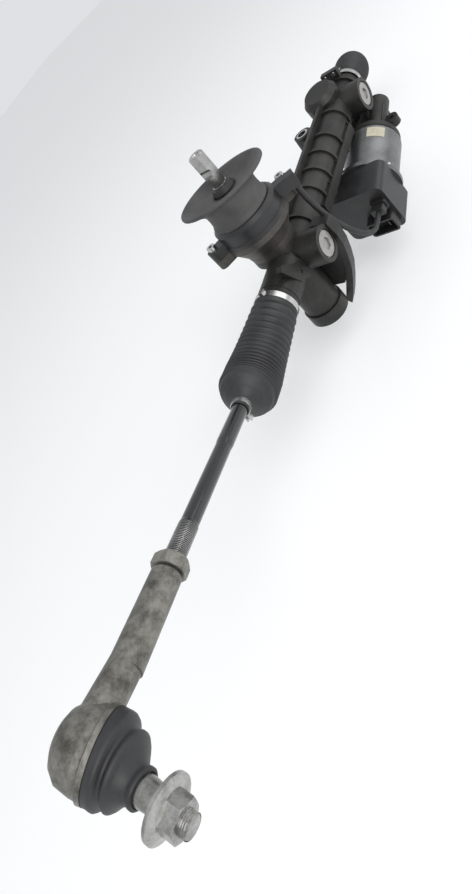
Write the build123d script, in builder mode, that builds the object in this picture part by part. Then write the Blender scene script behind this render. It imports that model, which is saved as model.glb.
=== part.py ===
from build123d import *
import os
from math import acos, cos, pi, radians, sin, sqrt, tan

# Steering rack with an input pinion at one end and an electric drive pinion at the other.
# Millimetres. X runs along the rack, Z up along the input shaft, and the origin is the
# centre of the bolt hole nearest the input shaft. "Near" is the input shaft's end (-X).

# ---------------------------------------------------------------- layout
AXIS_Y = -44.0              # rack axis, from the line of the two bolt holes
NEAR_CLAMP_X = -128.0       # middle of the near bellows clamp
FAR_CLAMP_X = 293.0
NEAR_PINION_X = -48.3
FAR_PINION_X = 239.0
FAR_MOUNT_X = 190.0
NEAR_BALL_X = -221.0        # inner ball centres, with the rack near its left lock
FAR_BALL_X = 328.0
TRAVEL_NEAR = 29.0          # rack travel from here towards the near side
TRAVEL_FAR = 87.0           # and towards the far side
DRIVE_TILT = 10.0           # lean of the drive pinion in the XZ plane, degrees
FREE_GAP = 0.3              # between pieces that move past each other
FIT_GAP = 0.05              # radial clearance of a shaft in its bearing

# ---------------------------------------------------------------- rack and pinions
RACK_R = 13.0
RACK_TOOTH_TOP = 5.0        # height of the tooth tips above the rack's axis
MODULE = 2.0
PRESSURE = 25.0
ADDENDUM = 1.6
DEDENDUM = 2.0
TOOTH_RELIEF = 0.12         # taken off each side of a tooth so that the gears run free
INPUT_TEETH = 9
DRIVE_TEETH = 11
PINION_FACE = 30.0

# ---------------------------------------------------------------- housing
TUBE_R = 21.0
BORE_R = 15.0
NEAR_NOZZLE_R = 23.4
NEAR_ENTRY_R = 18.6
NEAR_ENTRY_DEPTH = 30.0
FAR_NOZZLE_R = 19.6
FAR_ENTRY_R = 17.6
FAR_ENTRY_DEPTH = 26.0
NOZZLE_LIP = 7.0            # how far a nozzle reaches past its clamp's middle
TOWER_R = 25.0
TOWER_BOTTOM = -90.0
TOWER_TOP = 26.0
CASTING_REACH = 100.0       # the casting lies within this of the rack's axis
YOKE_BOSS_R = 21.7
YOKE_R = 16.5
NEAR_BOSS_REACH = 48.5
FAR_BOSS_REACH = 41.0
MOUNT_HOLE_R = 6.5
MOUNT_SLEEVE_WALL = 2.5
MOUNT_BOSS_R = 13.0
MOUNT_HEIGHT = 28.0
RAIL_TOP_Z = 30.0
RAIL_THICK = 5.0

# ---------------------------------------------------------------- input shaft and sensor
SHAFT_R = 9.0
SHAFT_TIP_Z = 159.5
SHAFT_TIP_LENGTH = 26.0     # full-size tip that the column's clamp holds, above a neck
SHAFT_NECK_R = 8.0
SHAFT_NECK_LENGTH = 13.0
SHAFT_JOURNAL_R = 8.5
SHAFT_TAIL_R = 6.0
BOWL_R = 43.5
BOWL_TOP = 61.0
BOWL_WALL = 4.0
COVER_TOP = 84.0
COVER_R = 42.0
SCREW_PITCH_R = 54.0
SCREW_ANGLE = -42.0
BOOT_BODY_R = 35.0
BOOT_TOP = 120.0
BOOT_LIP_LENGTH = 112.0
BOOT_LIP_WIDTH = 78.0
BOOT_LIP_THICK = 4.0
BOOT_ANGLE = -59.0
COLLAR_R = 14.0
CAP_R = 27.5
CAP_THICK = 14.0

# ---------------------------------------------------------------- drive unit
WHEEL_DROP = 50.0           # worm wheel's middle, down the drive pinion from the rack
WHEEL_TEETH = 41
WORM_MODULE = 1.75
WORM_STARTS = 2
WORM_R = 9.0                # pitch radius of the worm
WHEEL_FACE = 12.0
GEARCASE_WALL = 3.5
MOTOR_R = 38.0
MOTOR_WALL = 2.5
MOTOR_START = -42.5         # along the worm's axis, from the wheel's middle
MOTOR_LENGTH = 71.5
RIM_R = 44.0
RIM_THICK = 6.0
UNIT_LENGTH = 42.0
UNIT_WIDTH = 80.0
UNIT_WALL = 3.0

# ---------------------------------------------------------------- tie rods
INNER_BALL_R = 12.5
SEAT_WALL = 1.1
INNER_JOINT_R = 17.2
ROD_R = 7.3
ROD_NECK_R = 5.5
ROD_TO_NUT = 239.0          # inner ball centre to the middle of the lock nut
ROD_TO_BALL = 355.0         # inner ball centre to outer ball centre
LOCK_NUT_FLATS = 24.0
LOCK_NUT_THICK = 10.0
SLEEVE_R = 11.2
OUTER_BALL_R = 12.5
CUP_RIM_R = 23.5
STUD_THREAD_R = 6.0
STUD_LENGTH = 71.0
FLANGE_NUT_R = 15.8
FLANGE_NUT_SEAT = 54.0
FLANGE_NUT_FLATS = 18.0

# Directions at rest: the near rod leans to the front and up, the far one back and down.
NEAR_ROD = Vector(-0.9036, -0.2703, 0.3323).normalized()
FAR_ROD = Vector(0.8545, 0.3850, -0.3485).normalized()
NEAR_CUP = Vector(-0.0242, -0.8201, -0.5718).normalized()     # open side of the rod end
NEAR_STUD = Vector(-0.1541, -0.9569, -0.2463).normalized()
FAR_CUP = Vector(-0.2750, -0.0600, -0.9600).normalized()
FAR_STUD = Vector(-0.3900, -0.1200, -0.9130).normalized()

# ---------------------------------------------------------------- bellows and sensor lead
BELLOWS_WALL = 1.4
CLAMP_BAND = 0.8
CLAMP_WIDTH = 7.0
FOLD_DEPTH = 3.0
COLLAR_AT = 51.0            # small collar, out along the rod from the ball
LEAD_R = 3.6
LEAD_POINTS = [(-14.8, -83.2, 62), (-14.8, -83.2, 44), (-7, -86.5, 0), (8, -95, -42),
               (28, -100, -66), (47.5, -100.5, -71.3), (65.2, -100.5, -68.2)]

# ---------------------------------------------------------------- derived places
PITCH_Y = AXIS_Y + RACK_TOOTH_TOP - ADDENDUM
INPUT_R = MODULE * INPUT_TEETH / 2
DRIVE_R = MODULE * DRIVE_TEETH / 2
INPUT_Y = PITCH_Y + INPUT_R
DRIVE_Y = PITCH_Y + DRIVE_R
TILT = radians(DRIVE_TILT)
DRIVE_UP = Vector(-sin(TILT), 0, cos(TILT))
DRIVE_ALONG = Vector(cos(TILT), 0, sin(TILT))
DRIVE_ROOT = Vector(FAR_PINION_X, DRIVE_Y, 0)
WHEEL_R = WORM_MODULE * WHEEL_TEETH / 2
WORM_OFFSET = WHEEL_R + WORM_R
WHEEL_CENTRE = DRIVE_ROOT - DRIVE_UP * WHEEL_DROP
WORM_CENTRE = WHEEL_CENTRE + Vector(0, -WORM_OFFSET, 0)
MOTOR_END = MOTOR_START - MOTOR_LENGTH
RIM_END = MOTOR_END - RIM_THICK
UNIT_END = RIM_END - UNIT_LENGTH
NEAR_BALL = Vector(NEAR_BALL_X, AXIS_Y, 0)
FAR_BALL = Vector(FAR_BALL_X, AXIS_Y, 0)
SEAT_R = INNER_BALL_R + FREE_GAP + SEAT_WALL
SOCKET_R = SEAT_R + FREE_GAP
MOUNT_BORE_R = MOUNT_HOLE_R + MOUNT_SLEEVE_WALL
TOOTH_PITCH = pi * MODULE

os.makedirs("parts", exist_ok=True)


def across(x, y=0.0, z=0.0):
    """Plane square to the rack, placed from the rack's axis."""
    return Plane(origin=(x, AXIS_Y + y, z), x_dir=(0, 1, 0), z_dir=(1, 0, 0))


def level(x, y, z):
    """Plane square to Z at a true place."""
    return Plane(origin=(x, y, z), x_dir=(1, 0, 0), z_dir=(0, 0, 1))


def facing_front(x, y, z):
    """Plane looking to -Y at a true place."""
    return Plane(origin=(x, y, z), x_dir=(1, 0, 0), z_dir=(0, -1, 0))


def drive_plane(along=0.0, side=0.0, up=0.0):
    """Plane square to the drive pinion, measured from where it meets the rack."""
    place = DRIVE_ROOT + DRIVE_ALONG * along + Vector(0, side, 0) + DRIVE_UP * up
    return Plane(origin=place, x_dir=DRIVE_ALONG, z_dir=DRIVE_UP)


def worm_plane(along):
    """Plane square to the worm's axis; its local x is the rack's Y."""
    return Plane(origin=WORM_CENTRE + DRIVE_ALONG * along, x_dir=(0, 1, 0), z_dir=DRIVE_ALONG)


def square_to(centre, direction):
    """A direction square to the given one, as level as can be."""
    side = Vector(0, 0, 1).cross(direction)
    return side.normalized()


def profile_plane(centre, direction):
    """Plane that holds an axis: local x runs along it, local y out from it."""
    side = square_to(centre, direction)
    return Plane(origin=centre, x_dir=direction, z_dir=direction.cross(side) * -1)


def cross_plane(centre, direction, distance=0.0):
    """Plane square to an axis, some way along it."""
    return Plane(origin=centre + direction * distance, x_dir=square_to(centre, direction),
                 z_dir=direction)


def save(solid, name):
    solid.label = name
    export_step(solid, f"parts/{name}.step")


def ring_on(plane, outer, inner, thick):
    with BuildPart() as ring:
        with BuildSketch(plane):
            Circle(outer)
            Circle(inner, mode=Mode.SUBTRACT)
        extrude(amount=thick)
    return ring.part


# ================================================================ gears
def involute_angle(angle):
    return tan(angle) - angle


def gear_sketch(teeth, module, pressure, addendum, dedendum, relief, start=-90.0):
    """Involute gear outline with a tooth centred at the start angle."""
    pitch = module * teeth / 2
    base = pitch * cos(radians(pressure))
    root = pitch - dedendum
    tip = pitch + addendum
    half = pi / (2 * teeth) - relief / pitch + involute_angle(radians(pressure))
    steps = 4
    low = max(base, root)
    radii = [root - 0.6, low] + [low + (tip - low) * (i + 1) / steps for i in range(steps)]

    def half_angle(radius):
        if radius <= base:
            return half
        return half - involute_angle(acos(base / radius))

    left = [(r * cos(half_angle(r)), r * sin(half_angle(r))) for r in radii]
    right = [(x, -y) for x, y in reversed(left)]
    with BuildSketch() as sketch:
        Circle(root)
        with PolarLocations(0, teeth, start_angle=start):
            Polygon(*left, *right, align=None)
    return sketch.sketch


def rack_gaps(first, last):
    """Gaps between rack teeth: local x along the teeth's pitch, local y out of the rack."""
    slope = tan(radians(PRESSURE))
    middle = TOOTH_PITCH / 4 + TOOTH_RELIEF
    over = ADDENDUM + 1.0
    bottom = middle - DEDENDUM * slope
    top = middle + over * slope
    with BuildSketch() as gaps:
        with Locations(*[(n * TOOTH_PITCH, 0) for n in range(first, last + 1)]):
            Polygon((-bottom, -DEDENDUM), (bottom, -DEDENDUM), (top, over), (-top, over),
                    align=None)
    return gaps.sketch


def gap_range(spare):
    first = -int((TRAVEL_FAR + spare) / TOOTH_PITCH) - 1
    last = int((TRAVEL_NEAR + spare) / TOOTH_PITCH) + 1
    return first, last


# ================================================================ rack bar
JOINT_BACK = 24.0           # inner joint: ball centre to its face against the rack
STUB_R = 8.0
STUB_LENGTH = 9.0
RACK_START = NEAR_BALL_X + JOINT_BACK
RACK_END = FAR_BALL_X - JOINT_BACK


def make_rack_bar():
    first, last = gap_range(12.0)
    over = 20.0
    reach = 45.0
    with BuildPart() as bar:
        with BuildSketch(across(RACK_START)):
            Circle(RACK_R)
        extrude(amount=RACK_END - RACK_START)
        chamfer(bar.edges().filter_by(GeomType.CIRCLE), 1.5)
        for x in (RACK_START - STUB_LENGTH, RACK_END):
            with BuildSketch(across(x)):
                Circle(STUB_R)
            extrude(amount=STUB_LENGTH)
        for centre, plane_dir, up in ((NEAR_PINION_X, Vector(1, 0, 0), Vector(0, 0, 1)),
                                      (FAR_PINION_X, DRIVE_ALONG, DRIVE_UP)):
            plane = Plane(origin=(centre, PITCH_Y, 0), x_dir=plane_dir, z_dir=up)
            start = (first - 0.5) * TOOTH_PITCH
            length = (last - first + 1) * TOOTH_PITCH
            with BuildSketch(plane):
                with Locations((start + length / 2, ADDENDUM + over / 2)):
                    Rectangle(length, over)
            extrude(amount=reach, both=True, mode=Mode.SUBTRACT)
            with BuildSketch(plane):
                add(rack_gaps(first, last))
            extrude(amount=reach, both=True, mode=Mode.SUBTRACT)
    return bar.part


# ================================================================ input shaft with its pinion
TAIL_END = -72.0
TORSION_GROOVE_Z = 108.0


def make_input_shaft():
    with BuildPart() as shaft:
        with BuildSketch(level(NEAR_PINION_X, INPUT_Y, TAIL_END)):
            Circle(SHAFT_TAIL_R)
        extrude(amount=-TAIL_END - PINION_FACE / 2 + 0.5)
        with BuildSketch(level(NEAR_PINION_X, INPUT_Y, -PINION_FACE / 2)):
            add(gear_sketch(INPUT_TEETH, MODULE, PRESSURE, ADDENDUM, DEDENDUM, TOOTH_RELIEF))
        extrude(amount=PINION_FACE)
        with BuildSketch(level(NEAR_PINION_X, INPUT_Y, PINION_FACE / 2 - 0.5)):
            Circle(SHAFT_JOURNAL_R)
        extrude(amount=TORSION_GROOVE_Z - PINION_FACE / 2 + 0.5)
        with BuildSketch(level(NEAR_PINION_X, INPUT_Y, TORSION_GROOVE_Z)):
            Circle(SHAFT_R)
        extrude(amount=SHAFT_TIP_Z - TORSION_GROOVE_Z)
        chamfer(shaft.edges().sort_by(Axis.Z)[-1], 1.2)
        # Neck between the seal and the tip.
        with BuildSketch(level(NEAR_PINION_X, INPUT_Y, SHAFT_TIP_Z - SHAFT_TIP_LENGTH)):
            Circle(SHAFT_R + 1.0)
            Circle(SHAFT_NECK_R, mode=Mode.SUBTRACT)
        extrude(amount=-SHAFT_NECK_LENGTH, mode=Mode.SUBTRACT)
        # Flat for the column's clamp, its cross groove for the pinch bolt, and the centre drilling.
        with BuildSketch(level(NEAR_PINION_X, INPUT_Y, SHAFT_TIP_Z)):
            with Locations((-SHAFT_R, 0)):
                Rectangle(4.0, 2 * SHAFT_R)
        extrude(amount=-SHAFT_TIP_LENGTH, mode=Mode.SUBTRACT)
        with BuildSketch(facing_front(NEAR_PINION_X, INPUT_Y, SHAFT_TIP_Z - 20.0)):
            with Locations((-SHAFT_R - 0.5, 0)):
                Circle(4.2)
        extrude(amount=2 * SHAFT_R, both=True, mode=Mode.SUBTRACT)
        with BuildSketch(level(NEAR_PINION_X, INPUT_Y, SHAFT_TIP_Z)):
            Circle(4.0)
        extrude(amount=-6.0, taper=20, mode=Mode.SUBTRACT)
    return shaft.part


# ================================================================ drive pinion and worm wheel
PINION_TOP = 32.0
PINION_BOTTOM = -73.0
DRIVE_SHAFT_R = 8.5
WHEEL_HUB_R = 14.0


def make_drive_pinion():
    with BuildPart() as pinion:
        with BuildSketch(drive_plane(up=PINION_BOTTOM)):
            Circle(DRIVE_SHAFT_R)
        extrude(amount=-PINION_BOTTOM - PINION_FACE / 2 + 0.5)
        with BuildSketch(drive_plane(up=-PINION_FACE / 2)):
            add(gear_sketch(DRIVE_TEETH, MODULE, PRESSURE, ADDENDUM, DEDENDUM, TOOTH_RELIEF))
        extrude(amount=PINION_FACE)
        with BuildSketch(drive_plane(up=PINION_FACE / 2 - 0.5)):
            Circle(SHAFT_TAIL_R)
        extrude(amount=PINION_TOP - PINION_FACE / 2 + 0.5)
    return pinion.part


WORM_ADDENDUM = 1.5
WORM_DEDENDUM = 2.1
WORM_RELIEF = 0.45


def make_worm_wheel():
    low = -WHEEL_DROP - WHEEL_FACE / 2
    with BuildPart() as wheel:
        with BuildSketch(drive_plane(up=low)):
            add(gear_sketch(WHEEL_TEETH, WORM_MODULE, 20.0, WORM_ADDENDUM, WORM_DEDENDUM,
                            WORM_RELIEF))
            Circle(DRIVE_SHAFT_R, mode=Mode.SUBTRACT)
        extrude(amount=WHEEL_FACE)
        # Plastic rim on a dished steel hub.
        for height in (low, -WHEEL_DROP + 2.0):
            with BuildSketch(drive_plane(up=height)):
                Circle(WHEEL_R - 8.0)
                Circle(WHEEL_HUB_R, mode=Mode.SUBTRACT)
            extrude(amount=WHEEL_FACE / 2 - 2.0, mode=Mode.SUBTRACT)
    return wheel.part


# ================================================================ worm, motor rotor
WORM_PITCHES = 2            # thread pitches on each side of the middle gap
WORM_THREAD_RELIEF = 0.25
WORM_SHAFT_R = 5.0
WORM_TIP = 33.0
ROTOR_R = 22.0
ROTOR_END_GAP = 14.0


def make_worm_shaft():
    pitch = pi * WORM_MODULE
    core = WORM_R - WORM_DEDENDUM
    depth = WORM_ADDENDUM + WORM_DEDENDUM
    foot = pitch / 4 + WORM_DEDENDUM * tan(radians(20)) - WORM_THREAD_RELIEF
    crest = foot - depth * tan(radians(20))
    # A gap between threads faces the wheel's middle tooth.
    length = (2 * WORM_PITCHES + 1) * pitch + 2 * foot
    axis = worm_plane(-length / 2)
    with BuildPart() as worm:
        with BuildSketch(worm_plane(MOTOR_END + 6.0)):
            Circle(WORM_SHAFT_R)
        extrude(amount=WORM_TIP - MOTOR_END - 6.0)
        with BuildSketch(axis.offset(-1.0)):
            Circle(core)
        extrude(amount=length + 2.0)
        for turn in range(WORM_STARTS):
            spin = Rotation(0, 0, 360.0 * turn / WORM_STARTS)
            start = Plane(origin=(core - 0.4, 0, foot), x_dir=(1, 0, 0), z_dir=(0, 1, 0))
            with BuildSketch(start) as tooth:
                Polygon((0, -foot), (0, foot), (depth + 0.4, crest), (depth + 0.4, -crest),
                        align=None)
            path = Helix(pitch=WORM_STARTS * pitch, height=length - 2 * foot, radius=core,
                         center=(0, 0, foot), mode=Mode.PRIVATE)
            thread = sweep(tooth.sketch, path=path, is_frenet=True, mode=Mode.PRIVATE)
            add(axis.location * spin * thread)
    return worm.part


def make_motor_rotor():
    with BuildPart() as rotor:
        with BuildSketch(worm_plane(MOTOR_END + ROTOR_END_GAP)):
            Circle(ROTOR_R)
            Circle(WORM_SHAFT_R, mode=Mode.SUBTRACT)
        extrude(amount=MOTOR_LENGTH - 2 * ROTOR_END_GAP)
    return rotor.part



# ================================================================ shared shapes
def turned(plane, points, round_from=()):
    """Body turned about the plane's x axis; each point is (along, radius).

    The edge that leaves a point numbered in round_from is an arc about the plane's origin.
    """
    with BuildPart() as body:
        with BuildSketch(plane):
            with BuildLine():
                for number, (first, second) in enumerate(zip(points, points[1:] + points[:1])):
                    if number in round_from:
                        middle = (Vector(*first).normalized() + Vector(*second).normalized()).normalized()
                        ThreePointArc(first, middle * Vector(*first).length, second)
                    else:
                        Line(first, second)
            make_face()
        revolve(axis=Axis(plane.origin, plane.x_dir))
    return body.part


def hex_nut(centre, direction, start, thick, flats, bore):
    """Hexagon nut with its corners turned off at both ends."""
    corner = flats / sqrt(3)
    cut = corner - flats / 2
    slope = cut * 0.6
    outline = [(start, 0), (start, corner - cut * 0.9), (start + slope, corner + 0.01),
               (start + thick - slope, corner + 0.01), (start + thick, corner - cut * 0.9),
               (start + thick, 0)]
    blank = turned(profile_plane(centre, direction), outline)
    with BuildPart() as nut:
        with BuildSketch(cross_plane(centre, direction, start)):
            RegularPolygon(flats / 2, 6, major_radius=False)
        extrude(amount=thick)
        add(blank, mode=Mode.INTERSECT)
        with BuildSketch(cross_plane(centre, direction, start)):
            Circle(bore)
        extrude(amount=thick, mode=Mode.SUBTRACT)
    return nut.part


def skew_tube(centres, normals, radii, wall):
    """Thin tube through rings that need not be parallel."""
    outer = [Wire(Edge.make_circle(r, Plane(origin=c, x_dir=square_to(c, n), z_dir=n)))
             for c, n, r in zip(centres, normals, radii)]
    inner = [Wire(Edge.make_circle(r - wall, Plane(origin=c, x_dir=square_to(c, n), z_dir=n)))
             for c, n, r in zip(centres, normals, radii)]
    faces = []
    for wires in (outer, inner):
        for first, second in zip(wires, wires[1:]):
            faces += Shell.make_loft([first, second], True).faces()
    faces.append(Face(outer[0], [inner[0]]))
    faces.append(Face(outer[-1], [inner[-1]]))
    return Solid(Shell(faces))


# ================================================================ main housing
NOZZLE_BACK = 12.0          # how far a nozzle reaches inward from its clamp's middle
NEAR_NOZZLE_END = NEAR_CLAMP_X - NOZZLE_LIP
FAR_NOZZLE_END = FAR_CLAMP_X + NOZZLE_LIP
GEAR_JOINT_UP = -34.0       # where the gear housing meets the main housing, up the pinion
DOME_UP = 38.0
TOP_BEARING_R = 17.5
TOP_BEARING_LOW = 16.5
TAIL_BEARING_R = 12.0
TAIL_BEARING_LOW = -66.0
BEARING_THICK = 10.0
DRIVE_LOW_BEARING_R = 16.0
DRIVE_TOP_BEARING_UP = 18.0
INPUT_BORE_R = 12.0
DRIVE_BORE_R = 13.6
GEAR_BOLT_R = 3.0
GEAR_BOLT_PITCH_R = 27.3
GEAR_BOLT_ANGLES = (60.0, 180.0, 300.0)
GEAR_FLANGE_R = 31.0
GEAR_FLANGE_THICK = 6.0


def gear_bolt_places():
    places = []
    for angle in GEAR_BOLT_ANGLES:
        places.append((GEAR_BOLT_PITCH_R * cos(radians(angle)),
                       GEAR_BOLT_PITCH_R * sin(radians(angle))))
    return places


def tube_outside():
    with BuildPart() as tube:
        for start, end, radius in ((NEAR_NOZZLE_END, NEAR_CLAMP_X + NOZZLE_BACK, NEAR_NOZZLE_R),
                                   (NEAR_CLAMP_X + NOZZLE_BACK, -70.0, 24.0),
                                   (-70.0, FAR_CLAMP_X - 18.0, TUBE_R),
                                   (FAR_CLAMP_X - 18.0, FAR_NOZZLE_END, FAR_NOZZLE_R)):
            with BuildSketch(across(start)):
                Circle(radius)
            extrude(amount=end - start)
        for x in (-8.0, 44.0, 78.0, 112.0, 146.0, 196.0, 270.0):
            with BuildSketch(across(x)):
                Circle(TUBE_R + 3.0)
            extrude(amount=4.0)
    return tube.part


def towers():
    with BuildPart() as tower:
        with BuildSketch(level(NEAR_PINION_X, INPUT_Y, TOWER_BOTTOM)):
            Circle(TOWER_R)
        extrude(amount=TOWER_TOP - TOWER_BOTTOM)
        with BuildSketch(level(NEAR_PINION_X, INPUT_Y, TOWER_TOP - 10.0)):
            Circle(30.0)
        extrude(amount=10.0)
        with BuildSketch(level(NEAR_PINION_X, INPUT_Y, TOWER_BOTTOM)):
            Circle(CAP_R)
        extrude(amount=6.0)
        for x, reach in ((NEAR_PINION_X, NEAR_BOSS_REACH), (FAR_PINION_X, FAR_BOSS_REACH)):
            with BuildSketch(facing_front(x, AXIS_Y, 0)):
                Circle(YOKE_BOSS_R)
            extrude(amount=reach)
        with BuildSketch(drive_plane(up=GEAR_JOINT_UP)):
            Circle(22.0)
        extrude(amount=-GEAR_JOINT_UP)
        with BuildSketch(drive_plane(up=GEAR_JOINT_UP)):
            Circle(GEAR_FLANGE_R)
        extrude(amount=GEAR_FLANGE_THICK)
        with BuildSketch(drive_plane()):
            Circle(26.0)
        extrude(amount=DOME_UP - 8.0)
        with BuildSketch(drive_plane(up=DOME_UP - 8.0)):
            Circle(26.0)
        extrude(amount=8.0, taper=35)
    return tower.part


def mount_ears():
    with BuildPart() as ears:
        for x in (0.0, FAR_MOUNT_X):
            with BuildSketch(level(x, 0, -MOUNT_HEIGHT / 2)):
                Circle(MOUNT_BOSS_R)
            extrude(amount=MOUNT_HEIGHT)
            with BuildSketch(level(x, 0, -MOUNT_HEIGHT / 2 + 4.0)):
                Polygon((-MOUNT_BOSS_R, 0), (MOUNT_BOSS_R, 0), (26, AXIS_Y + 14), (-26, AXIS_Y + 14),
                        align=None)
            extrude(amount=MOUNT_HEIGHT - 8.0)
    return ears.part


def rails_and_tabs():
    with BuildPart() as ribs:
        # Long ridge over the tube and flat rail along its front.
        with BuildSketch(level(99.0, AXIS_Y + 9.0, 12.0)):
            Rectangle(226.0, RAIL_THICK)
        extrude(amount=RAIL_TOP_Z - 12.0)
        with BuildSketch(facing_front(108.5, AXIS_Y - 12.0, -9.0)):
            Rectangle(163.0, 14.0)
        extrude(amount=13.0)
        for x in (28.5, 69.0, 110.0, 151.0, 188.5):
            with BuildSketch(facing_front(x, AXIS_Y - 10.0, -10.0)):
                Rectangle(3.0, 20.0)
            extrude(amount=13.0)
        # Ear behind the far bellows clamp, with its two holes.
        with BuildSketch(across(FAR_CLAMP_X - 17.0, 8.0, 15.0)):
            Rectangle(26.0, 40.0)
        extrude(amount=9.0)
        with BuildSketch(across(FAR_CLAMP_X - 17.0)):
            with Locations((2.0, 30.0), (16.0, 30.0)):
                Circle(3.2)
        extrude(amount=9.0, mode=Mode.SUBTRACT)
        # Three-cornered tab with a small hole beside the near clamp.
        with BuildSketch(facing_front(NEAR_CLAMP_X, AXIS_Y - 18.0, 0)):
            Polygon((51.7, 9.5), (52.7, -14.7), (32.9, -3.0), (17.5, 31.0), (24.0, 34.0), align=None)
        extrude(amount=7.0)
        with BuildSketch(facing_front(NEAR_CLAMP_X, AXIS_Y - 18.0, 0)):
            with Locations((43.5, 2.5)):
                Circle(2.2)
        extrude(amount=7.0, mode=Mode.SUBTRACT)
    return ribs.part


ARM_OUTER = [(-30, 16), (-50, 12), (-53, -7), (-52, -24), (-47, -44), (-41, -62), (-31, -82),
             (-19, -103), (-9, -118)]
ARM_INNER = [(-4, -110), (-12, -97), (-24, -76), (-33, -58), (-39, -42), (-44, -24), (-45, -10),
             (-30, -8)]


def side_arm():
    """Curved arm that hangs from the near boss beside the pinion tower."""
    with BuildPart() as arm:
        with BuildSketch(across(-30.0)):
            with BuildLine():
                Polyline(*ARM_OUTER, *ARM_INNER, close=True)
            make_face()
        extrude(amount=16.0)
    return arm.part


def arm_web():
    """Web that ties the arm to the tower and the tube."""
    with BuildPart() as web:
        with BuildSketch(across(-28.5)):
            Polygon((-44, -12), (-40.5, -38), (-30, -62), (-19, -82), (6, -80), (6, -6), align=None)
        extrude(amount=5.0)
    return web.part


def housing_bores(body):
    with BuildPart() as cast:
        add(body)
        with BuildSketch(across(NEAR_NOZZLE_END)):
            Circle(BORE_R)
        extrude(amount=FAR_NOZZLE_END - NEAR_NOZZLE_END, mode=Mode.SUBTRACT)
        with BuildSketch(across(NEAR_NOZZLE_END)):
            Circle(NEAR_ENTRY_R)
        extrude(amount=NEAR_ENTRY_DEPTH, mode=Mode.SUBTRACT)
        with BuildSketch(across(FAR_NOZZLE_END - FAR_ENTRY_DEPTH)):
            Circle(FAR_ENTRY_R)
        extrude(amount=FAR_ENTRY_DEPTH, mode=Mode.SUBTRACT)
        # Input pinion: long bore, tail bearing, top bearing, room under the tail.
        for low, high, radius in ((TAIL_BEARING_LOW, TOWER_TOP, INPUT_BORE_R),
                                  (TOP_BEARING_LOW, TOWER_TOP, TOP_BEARING_R),
                                  (TOWER_BOTTOM, TAIL_BEARING_LOW, 16.0)):
            with BuildSketch(level(NEAR_PINION_X, INPUT_Y, low)):
                Circle(radius)
            extrude(amount=high - low, mode=Mode.SUBTRACT)
        # Drive pinion: bore, upper bearing pocket, lower bearing seat.
        for low, high, radius in ((GEAR_JOINT_UP, DRIVE_TOP_BEARING_UP, DRIVE_BORE_R),
                                  (DRIVE_TOP_BEARING_UP - 1.0, PINION_TOP + 1.5, TAIL_BEARING_R),
                                  (GEAR_JOINT_UP, GEAR_JOINT_UP + BEARING_THICK,
                                   DRIVE_LOW_BEARING_R)):
            with BuildSketch(drive_plane(up=low)):
                Circle(radius)
            extrude(amount=high - low, mode=Mode.SUBTRACT)
        with BuildSketch(drive_plane(up=GEAR_JOINT_UP)):
            with Locations(*gear_bolt_places()):
                Circle(GEAR_BOLT_R)
        extrude(amount=GEAR_FLANGE_THICK, mode=Mode.SUBTRACT)
        for x, reach in ((NEAR_PINION_X, NEAR_BOSS_REACH), (FAR_PINION_X, FAR_BOSS_REACH)):
            with BuildSketch(facing_front(x, AXIS_Y, 0)):
                Circle(YOKE_R + FIT_GAP)
            extrude(amount=reach, mode=Mode.SUBTRACT)
        for x in (0.0, FAR_MOUNT_X):
            with BuildSketch(level(x, 0, -MOUNT_HEIGHT / 2)):
                Circle(MOUNT_BORE_R)
            extrude(amount=MOUNT_HEIGHT, mode=Mode.SUBTRACT)
    return cast.part


def make_main_housing():
    with BuildPart() as outside:
        add(tube_outside())
        add(towers())
        add(mount_ears())
        add(rails_and_tabs())
        add(arm_web())
        add(side_arm())
    return housing_bores(outside.part)


# ================================================================ bearings, bushes, rack guides
def make_pinion_bearings():
    with BuildPart() as bearings:
        add(ring_on(level(NEAR_PINION_X, INPUT_Y, TOP_BEARING_LOW), TOP_BEARING_R,
                    SHAFT_JOURNAL_R + FIT_GAP, TOWER_TOP - TOP_BEARING_LOW))
        add(ring_on(level(NEAR_PINION_X, INPUT_Y, TAIL_BEARING_LOW), TAIL_BEARING_R,
                    SHAFT_TAIL_R + FIT_GAP, BEARING_THICK))
    return bearings.part


GEAR_FLOOR_UP = -66.0       # lower face of the gear housing
BOTTOM_BEARING_R = 15.0
WORM_BEARING_R = 11.0
WORM_BEARING_THICK = 8.0
BOTTOM_BEARING_UP = -74.0


def make_drive_bearings():
    with BuildPart() as bearings:
        add(ring_on(drive_plane(up=GEAR_JOINT_UP), DRIVE_LOW_BEARING_R,
                    DRIVE_SHAFT_R + FIT_GAP, BEARING_THICK))
        add(ring_on(drive_plane(up=DRIVE_TOP_BEARING_UP), TAIL_BEARING_R,
                    SHAFT_TAIL_R + FIT_GAP, BEARING_THICK))
        add(ring_on(drive_plane(up=BOTTOM_BEARING_UP), BOTTOM_BEARING_R,
                    DRIVE_SHAFT_R + FIT_GAP, GEAR_FLOOR_UP - BOTTOM_BEARING_UP))
        for start in (WORM_TIP - WORM_BEARING_THICK - 1.0, MOTOR_START + 2.0):
            add(ring_on(worm_plane(start), WORM_BEARING_R, WORM_SHAFT_R + FIT_GAP,
                        WORM_BEARING_THICK))
    return bearings.part


def make_rack_bushes():
    with BuildPart() as bushes:
        for x in (NEAR_NOZZLE_END + NEAR_ENTRY_DEPTH + 2.0, FAR_NOZZLE_END - FAR_ENTRY_DEPTH - 14.0):
            add(ring_on(across(x), BORE_R, RACK_R + FIT_GAP, 12.0))
    return bushes.part


PLUG_THICK = 9.0
YOKE_SPRING_ROOM = 9.0


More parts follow.
